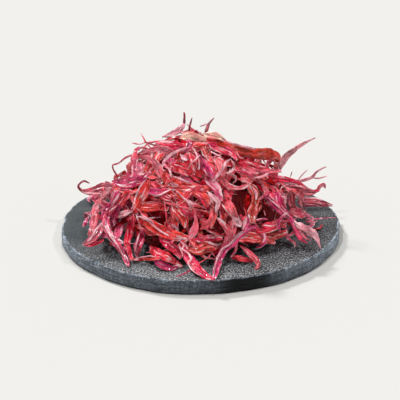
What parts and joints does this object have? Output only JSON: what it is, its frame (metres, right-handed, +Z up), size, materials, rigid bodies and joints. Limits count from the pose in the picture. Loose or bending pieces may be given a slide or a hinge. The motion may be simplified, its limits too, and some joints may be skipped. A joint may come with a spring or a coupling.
{
  "type": "dried funori seaweed on a slate plate",
  "caption": "Loose tangled heap of dried funori, a red branching seaweed, resting on a thin round slate plate with a hewn rim.",
  "frame": {"origin": "middle of the slate plate's flat underside", "axes": "+Z up, out of the plate's top face; -Y towards the side that the picture shows; +X to that view's right"},
  "size_m": [0.1212, 0.1211, 0.054],
  "materials": {
    "slate": "matt, riven, with a rough-hewn rim",
    "crimson": "glossy, dry, slightly translucent",
    "scarlet": "glossy, dry, slightly translucent",
    "magenta": "glossy, dry, slightly translucent",
    "mauve": "glossy, dry, slightly translucent",
    "rose": "glossy, dry, slightly translucent"
  },
  "bodies": {
    "root": {"slate_plate": "slate", "tangle_heart": "crimson", "band_centre": "scarlet", "band_middle_right": "crimson", "bowl_right": "scarlet", "bunch_front": "crimson", "bunch_left": "crimson", "claw_front_right": "crimson", "curl_right": "scarlet", "fork_top": "rose", "frond_01": "crimson", "frond_02": "rose", "frond_03": "scarlet", "frond_04": "rose", "frond_05": "mauve", "frond_06": "crimson", "frond_07": "crimson", "frond_08": "crimson", "frond_09": "magenta", "frond_11": "crimson", "frond_12": "mauve", "frond_13": "scarlet", "frond_14": "rose", "frond_15": "mauve", "frond_16": "crimson", "frond_17": "rose", "frond_18": "crimson", "frond_20": "rose", "frond_23": "mauve", "frond_25": "crimson", "frond_26": "mauve", "hook_left": "mauve", "leaf_back_right": "crimson", "leaf_left_low": "scarlet", "leaf_right_curled": "mauve", "loop_upper_left": "mauve", "sac_right": "rose", "spike_top_left": "mauve", "spike_top_middle": "rose", "spire_right": "rose", "star_centre": "magenta", "strand_left_down": "magenta", "strap_front": "crimson", "strap_front_right": "magenta", "strap_left_inner": "crimson", "strap_left_long": "mauve", "strap_left_short": "rose", "thread_across": "rose", "thread_front": "magenta", "thread_right": "magenta", "tube_top_right": "crimson", "twig_right": "rose", "twig_upper_left": "crimson"}
  },
  "joints": []
}
